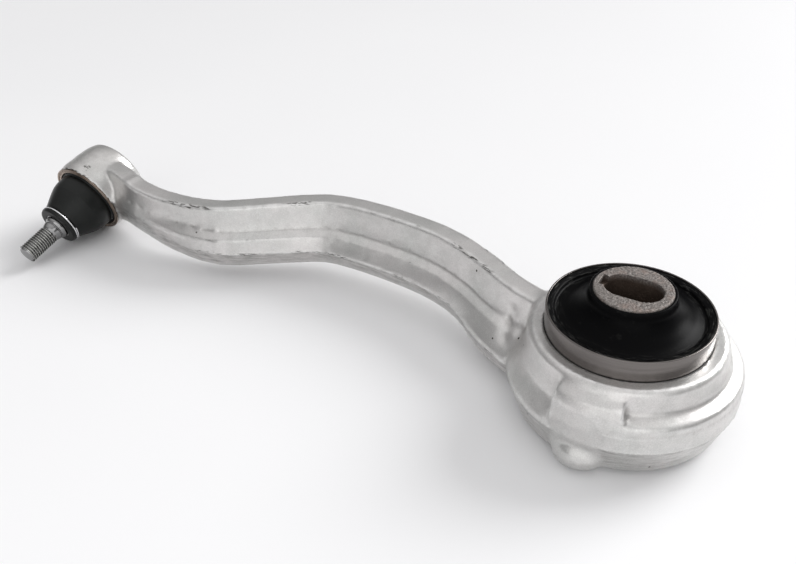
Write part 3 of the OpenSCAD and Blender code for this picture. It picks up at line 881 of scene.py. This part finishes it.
# %% [markdown]
# ## Inner sleeve
# The bolt passes through a slot with round ends, so the wheel's angle can be set before the bolt is
# tightened. The sleeve is cut off rough, and its end face is grainy and a little uneven. Its section
# changes round the axis, so each spoke of the mesh asks how far out the slot reaches at its own angle.

# %% Inner sleeve
slot_half = max(abs(v.co.x) for v in nodes["bush_inner_sleeve"].data.vertices
                if abs(v.co.y) < 0.1 * mm and v.co.xy.length < core_r - 3.2 * mm) / mm
slot_end = 8.25  # half the slot's width, which is also the radius of its round ends
key_half, key_depth, key_reach = 4.0, 3.5, slot_half + 1.6
rings = 14


def slot_reach(angle):
    """Distance from the axis to the slot's wall at an angle, in mm."""
    c, s = abs(math.cos(angle)), abs(math.sin(angle))
    flat = slot_half - slot_end
    if s > 1e-9 and slot_end * c / s <= flat:
        return slot_end / s
    return flat * c + math.sqrt(max(0.0, slot_end ** 2 - (flat * s) ** 2))


def sleeve_row(angle):
    """Closed profile of the inner sleeve at an angle, in mm."""
    r_slot, r_face = slot_reach(angle), core_r / mm - 0.02
    in_key = abs(math.sin(angle)) * key_reach < key_half and math.cos(angle) > 0
    r_key = key_reach / math.cos(angle) if in_key else r_slot
    top, low, ledge = core_top / mm, core_low / mm, core_top / mm - key_depth
    row = [(r_face, low + 0.8), (r_face, low + 12), (r_face, top - 12), (r_face, top - 1.0), (r_face - 0.15, top - 0.5),
           (r_face - 0.5, top - 0.15)]
    row += [(r_face - 0.5 + (r_key + 0.45 - r_face + 0.5) * k / rings, top) for k in range(1, rings + 1)]
    row += [(r_key + 0.12, top - 0.12), (r_key, top - 0.45), (r_key, ledge), (r_slot, ledge)]
    row += [(r_slot, ledge - 8), (r_slot, low + 12), (r_slot, low + 0.5), (r_slot + 0.5, low), (r_face - 0.8, low)]
    return row


spokes = 320
builder = bmesh.new()
wall_layer = builder.verts.layers.float.new("slot_wall")
rows = []
for k in range(spokes):
    angle = 2 * math.pi * (k + 0.5) / spokes
    row = []
    for i, (r, z) in enumerate(sleeve_row(angle)):
        spot = Vector((r * math.cos(angle), r * math.sin(angle), z)) * mm
        rough = noise.noise(spot * 900) + 0.7 * noise.noise(spot * 2400)
        on_face = 4 <= i <= rings + 6
        if on_face:
            spot.z -= max(0.0, 0.12 + 0.18 * min(1.0, rough)) * mm * (0.5 if i in (4, 5) else 1.0)
        if i in (3, 4, 5):
            spot.xy *= 1 - 0.012 * abs(rough)
        made = builder.verts.new(spot)
        made[wall_layer] = smoothstep(0.2, 2.2, core_top / mm - z) if i > rings + 5 and z > 0 else float(i > rings + 8)
        row.append(made)
    rows.append(row)
for k in range(spokes):
    here, ahead = rows[k], rows[(k + 1) % spokes]
    for i in range(len(here)):
        j = (i + 1) % len(here)
        builder.faces.new((here[i], ahead[i], ahead[j], here[j]))
inner_sleeve = finish_mesh("inner_sleeve", builder, math.radians(50))
dress(inner_sleeve, "bush_core", "inner_sleeve_metal", "bush_inner_sleeve")
print(f"slot {2 * slot_half:.1f} by {2 * slot_end:.1f} mm")

# %% [markdown]
# ## Mouth and back of the ball joint
# A steel ring is rolled into the housing's mouth over the boot's foot, and a stamped steel cover closes
# the back. Both are thin sheet, so their profiles are bent bands with round edges.

# %% Rim ring and end cover
r_rim, s_rim, s_seat = ring_r / mm, ring_top / mm, ring_low / mm
rim_bore = girth("joint_rim_ring", STUD, min) / mm
r_mouth = r_rim + 0.72
rim_ring = spin("rim_ring", refine(fillet([
    (rim_bore + 0.1, s_seat, 0.2), (r_rim - 0.03, s_seat, 0.2), (r_rim - 0.03, s_rim - 0.56, 0),
    (r_mouth, s_rim - 0.56, 0.1), (r_mouth, s_rim - 0.15, 0.2), (r_rim - 0.1, s_rim, 0.4),
    (r_rim - 0.75, s_rim - 0.75, 0.25), (r_rim - 1.35, s_rim - 0.25, 0.3),
    (rim_bore + 0.5, s_rim - 0.3, 0.3), (rim_bore + 0.1, s_rim - 1.1, 0.4)]), 1.5), STUD)
dress(rim_ring, "arm", "rim_steel", "joint_rim_ring")

r_cover, s_back, s_front = cover_r / mm - 0.03, cover_low / mm, cover_top / mm
sheet = 1.6
end_cover = spin("end_cover", refine(fillet([
    (0, s_back + 1.5, 0), (10.2, s_back + 1.5, 1.2), (11.6, s_back + 0.1, 1.2), (r_cover, s_back + 0.1, 0.8),
    (r_cover, s_back + 0.1 + sheet, 0.3), (11.6, s_back + 0.1 + sheet, 1.0), (10.2, s_front, 0.6),
    (0, s_front, 0)]), 1.5), STUD)
dress(end_cover, "arm", "cover_steel", "joint_end_cover")

# %% [markdown]
# ## Boot
# The boot keeps grease in and dirt out. It stands still at its foot and follows the stud at its lip, so
# it has to give way in both of the stud's swings. It is made in two lengths that meet in a ring.

# %% Boot: foot to middle, and middle to lip
def smooth_line(points, per=6):
    """Smooth curve through points in mm (Catmull-Rom), as vectors."""
    knots = [Vector(p) for p in points]
    out = []
    for i in range(len(knots) - 1):
        a, b, c, d = knots[max(i - 1, 0)], knots[i], knots[i + 1], knots[min(i + 2, len(knots) - 1)]
        for k in range(per):
            u = k / per
            out.append(0.5 * (2 * b + (c - a) * u + (2 * a - 5 * b + 4 * c - d) * u * u
                              + (3 * b - a - 3 * c + d) * u ** 3))
    return out + [knots[-1]]


foot_s = reach("boot", STUD)[0] / mm
lip_s = reach("boot", STUD)[1] / mm
clip_s = sum(reach("boot_small_clip", STUD)) / 2 / mm
seam_s = 18.5
outer_low = smooth_line([(18.9, foot_s + 3.6), (19.05, foot_s + 5.5), (19.0, 13), (18.7, 15.8), (18.1, seam_s)])
inner_low = smooth_line([(16.5, seam_s), (17.0, 14.5), (17.0, foot_s + 5), (16.2, foot_s + 3.5)])
foot = fillet([(15.6, foot_s + 3, 0.4), (15.6, foot_s + 0.05, 0.4), (19.9, foot_s + 0.05, 0.4),
               (19.9, foot_s + 3, 0.5)])
boot_skirt = spin("boot_skirt", refine(foot + outer_low + inner_low, 0.9), STUD, 144)
outer_high = smooth_line([(18.1, seam_s), (16.9, 21.5), (15.5, 24.6), (14.05, 27.6), (12.95, 30.2)])
lip = fillet([(12.45, clip_s - 0.75, 0.4), (12.4, clip_s + 0.7, 0.4), (13.0, clip_s + 1.2, 0.5),
              (12.3, lip_s - 0.1, 0.7), (8.3, lip_s - 0.1, 0.6), (8.2, clip_s + 2.7, 0.2), (8.3, clip_s - 1, 0.4)])
inner_high = smooth_line([(10.9, clip_s - 2.5), (13.3, 24.0), (15.1, 21.2), (16.5, seam_s)])
boot_neck = spin("boot_neck", refine(outer_high + lip + inner_high, 0.9), STUD, 144)


for piece in (boot_skirt, boot_neck):
    piece.data.materials.append(MATERIALS["boot_rubber"])
    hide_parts("boot")
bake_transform(boot_skirt)
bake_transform(boot_neck)
print(f"boot from {foot_s:.1f} to {lip_s:.1f} mm along the stud")

# %% [markdown]
# ## Stud
# The stud leaves the boot as a ground shoulder that seats in the wheel carrier, narrows over a groove
# and a neck, and ends in a rolled thread. The body below carries the thread's root, and the thread
# itself is a ridge swept along a helix: a rule, so Geometry Nodes make it.

# %% Stud body
thread_r = 6.0  # outer radius of the thread, in mm
root_r, tip_s = thread_r - 0.88, stud_tip / mm
ball_r = girth("joint_ball", STUD) / mm
cup = [(r, math.sqrt((ball_r + 0.06) ** 2 - r * r), 0) for r in (0, 1.6, 3.2, 4.8, 6.4)]
stud_body = spin("stud_body", refine(fillet(cup + [
    (6.4, 17.5, 2), (7.55, 27, 2), (7.55, 36.1, 0.5), (6.75, 37.5, 0.3), (6.1, 37.8, 0.15), (6.1, 38.25, 0.15),
    (6.55, 38.5, 0.25), (5.75, 41.2, 0.5), (root_r, 42.0, 0.4), (root_r, tip_s - 1.2, 0.2),
    (root_r - 0.5, tip_s - 0.02, 0.25), (0, tip_s - 0.02, 0)]), 1.6), STUD, 128)
dress(stud_body, "stud", "stud_steel", "ball_stud")

# %% Helpers for Geometry Nodes
def begin_tree(name, **inputs):
    """Geometry tree with named float inputs; returns the tree and its input sockets by name."""
    tree = bpy.data.node_groups.new(name, "GeometryNodeTree")
    tree.interface.new_socket("Geometry", in_out="OUTPUT", socket_type="NodeSocketGeometry")
    for label, value in inputs.items():
        tree.interface.new_socket(label, in_out="INPUT", socket_type="NodeSocketFloat").default_value = value
    start = tree.nodes.new("NodeGroupInput")
    return tree, {label: start.outputs[label] for label in inputs}


def end_tree(tree, geometry, material):
    """Realize Instances and Set Material close every tree."""
    whole = add(tree, "GeometryNodeRealizeInstances", {0: geometry})
    coloured = add(tree, "GeometryNodeSetMaterial", {"Geometry": whole.outputs[0], "Material": material})
    tree.links.new(coloured.outputs[0], tree.nodes.new("NodeGroupOutput").inputs[0])
    return tree


def grow(name, tree, place, **values):
    """Runs a tree on an empty mesh and returns the result as a plain mesh object."""
    piece = bpy.data.objects.new(name, bpy.data.meshes.new(name))
    bpy.context.scene.collection.objects.link(piece)
    live = piece.modifiers.new(name, "NODES")
    live.node_group = tree
    for item in tree.interface.items_tree:
        if item.in_out == "INPUT" and item.name in values:
            live[item.identifier] = float(values[item.name])
    applied(piece)
    piece.data.name = name
    piece.data.transform(place)
    return piece


def calc(tree, operation, a, b=0.0, c=0.0):
    return add(tree, "ShaderNodeMath", {0: a, 1: b, 2: c}, operation=operation).outputs[0]


# %% Thread and clip: one tree sweeps a section along a helix
def helix_tree(name, material, ridge):
    """Sweeps a ridge section, or a round wire, along a helix about Z; the ends fade to nothing or stay."""
    tree, given = begin_tree(name, Radius=5 * mm, Length=19 * mm, Pitch=1.5 * mm, Width=1.4 * mm,
                             Height=0.9 * mm, Crest=0.2 * mm, Fade=0.03)
    turns = calc(tree, "DIVIDE", given["Length"], given["Pitch"])
    helix = add(tree, "GeometryNodeCurveSpiral", {
        "Resolution": 96, "Rotations": turns, "Start Radius": given["Radius"], "End Radius": given["Radius"],
        "Height": given["Length"]})
    along = add(tree, "GeometryNodeSplineParameter").outputs["Factor"]
    from_end = calc(tree, "MINIMUM", along, calc(tree, "SUBTRACT", 1.0, along))
    share = calc(tree, "DIVIDE", from_end, given["Fade"])
    share = add(tree, "ShaderNodeClamp", {"Value": share, "Min": 0.02, "Max": 1.0}).outputs[0]
    upright = add(tree, "GeometryNodeSetCurveNormal", {"Curve": helix.outputs[0]}, mode="Z_UP")
    sized = add(tree, "GeometryNodeSetCurveRadius", {"Curve": upright.outputs[0], "Radius": share})
    if ridge:
        section = add(tree, "GeometryNodeCurvePrimitiveQuadrilateral", {
            "Height": given["Height"], "Bottom Width": given["Width"], "Top Width": given["Crest"],
            "Offset": 0.0}, mode="TRAPEZOID")
        section = add(tree, "GeometryNodeTransform", {"Geometry": section.outputs[0]})
        tree.links.new(add(tree, "ShaderNodeCombineXYZ", {"Y": calc(tree, "MULTIPLY", given["Height"], 0.35)}
                           ).outputs[0], section.inputs["Translation"])
    else:
        section = add(tree, "GeometryNodeCurvePrimitiveCircle", {"Resolution": 16, "Radius": given["Width"]})
    swept = add(tree, "GeometryNodeCurveToMesh", {
        "Curve": sized.outputs[0], "Profile Curve": section.outputs[0], "Fill Caps": True})
    return end_tree(tree, swept.outputs[0], material)


def thread_steel():
    """Painted highlight on the crests and painted shade in the roots, set by distance from the stud's axis, with oily
    patches.
    """
    made, tree, shader, place = begin_material("thread_steel", Metallic=1.0)
    spot = stud_place(tree, place)
    xyz = add(tree, "ShaderNodeSeparateXYZ", {"Vector": spot}).outputs
    radius = maths(tree, "SQRT", maths(tree, "ADD", maths(tree, "MULTIPLY", xyz["X"], xyz["X"]),
                                       maths(tree, "MULTIPLY", xyz["Y"], xyz["Y"])))
    height = add(tree, "ShaderNodeMapRange", {"Value": radius, "From Min": root_r * mm, "From Max": thread_r * mm})
    dirt = cloud(tree, spot, 700, 3, 0.6)
    oily = maths(tree, "MULTIPLY_ADD", dirt, 0.3)
    oily.node.inputs[2].default_value = -0.15
    level = maths(tree, "ADD", height.outputs["Result"], oily, True)
    # painted shade in the roots and painted highlight on the crests, by height above the root
    shine = ramp(tree, level, (0.34, (0.008, 0.009, 0.006)), (0.60, (0.14, 0.142, 0.12)),
                 (0.78, (0.86, 0.86, 0.85)))
    tree.links.new(shine, shader.inputs["Base Color"])
    rough = add(tree, "ShaderNodeMapRange", {"Value": dirt, "To Min": 0.2, "To Max": 0.4})
    tree.links.new(rough.outputs["Result"], shader.inputs["Roughness"])
    bump(tree, shader, dirt, 0.00002, 0.5)
    return made


MATERIALS["thread_steel"] = thread_steel()
pitch = 1.5
thread_low, thread_high = 42.0, tip_s - 0.6
thread = grow("stud_thread", helix_tree("thread_tree", MATERIALS["thread_steel"], True),
              STUD @ Matrix.Translation((0, 0, thread_low * mm)),
              Radius=root_r * mm, Length=(thread_high - thread_low) * mm, Pitch=pitch * mm, Width=1.42 * mm,
              Height=1.0 * mm, Crest=0.22 * mm, Fade=0.04)
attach(thread, "stud")
wire_r = 0.43
clip = grow("boot_clip", helix_tree("clip_tree", MATERIALS["clip_wire"], False),
            STUD @ Matrix.Translation((0, 0, (clip_s - 0.55) * mm)),
            Radius=(12.5 + wire_r) * mm, Length=1.15 * mm, Pitch=1.05 * mm, Width=wire_r * mm, Fade=0.001)
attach(clip, "collar")
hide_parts("boot_small_clip")
for piece in (thread, clip):
    radii = [(STUD.inverted() @ v.co).xy.length / mm for v in piece.data.vertices]
    print(piece.name, len(piece.data.polygons), "faces, radius", round(min(radii), 2), "to", round(max(radii), 2))

# %% [markdown]
# ## Parts inside
# The cage, the channel shells, the travel stop, the ball, its seat and the small rings keep their CAD
# shape, which is already right. They get the same kind of material as their neighbours.

# %% Materials for the CAD nodes that stay
KEPT = {
    "bush_window_cage": "cage_plastic", "bush_channel_shell_left": "channel_plastic",
    "bush_channel_shell_right": "channel_plastic", "bush_travel_stop": "stop_plastic",
    "joint_bearing_shell": "shell_plastic", "joint_preload_ring": "cover_steel",
    "boot_base_ring": "clip_wire", "boot_collar_ring": "cover_steel", "joint_ball": "ball_steel"}
for name, finish in KEPT.items():
    for slot in nodes[name].material_slots:
        slot.material = MATERIALS[finish]
    print(name, "wears", finish)

# %% Close the lesson
visual_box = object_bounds()
grown = (*(cad_box[0] - visual_box[0]), *(visual_box[1] - cad_box[1]))
print("grown past the CAD box by", [round(float(v) / mm, 2) for v in grown], "mm")
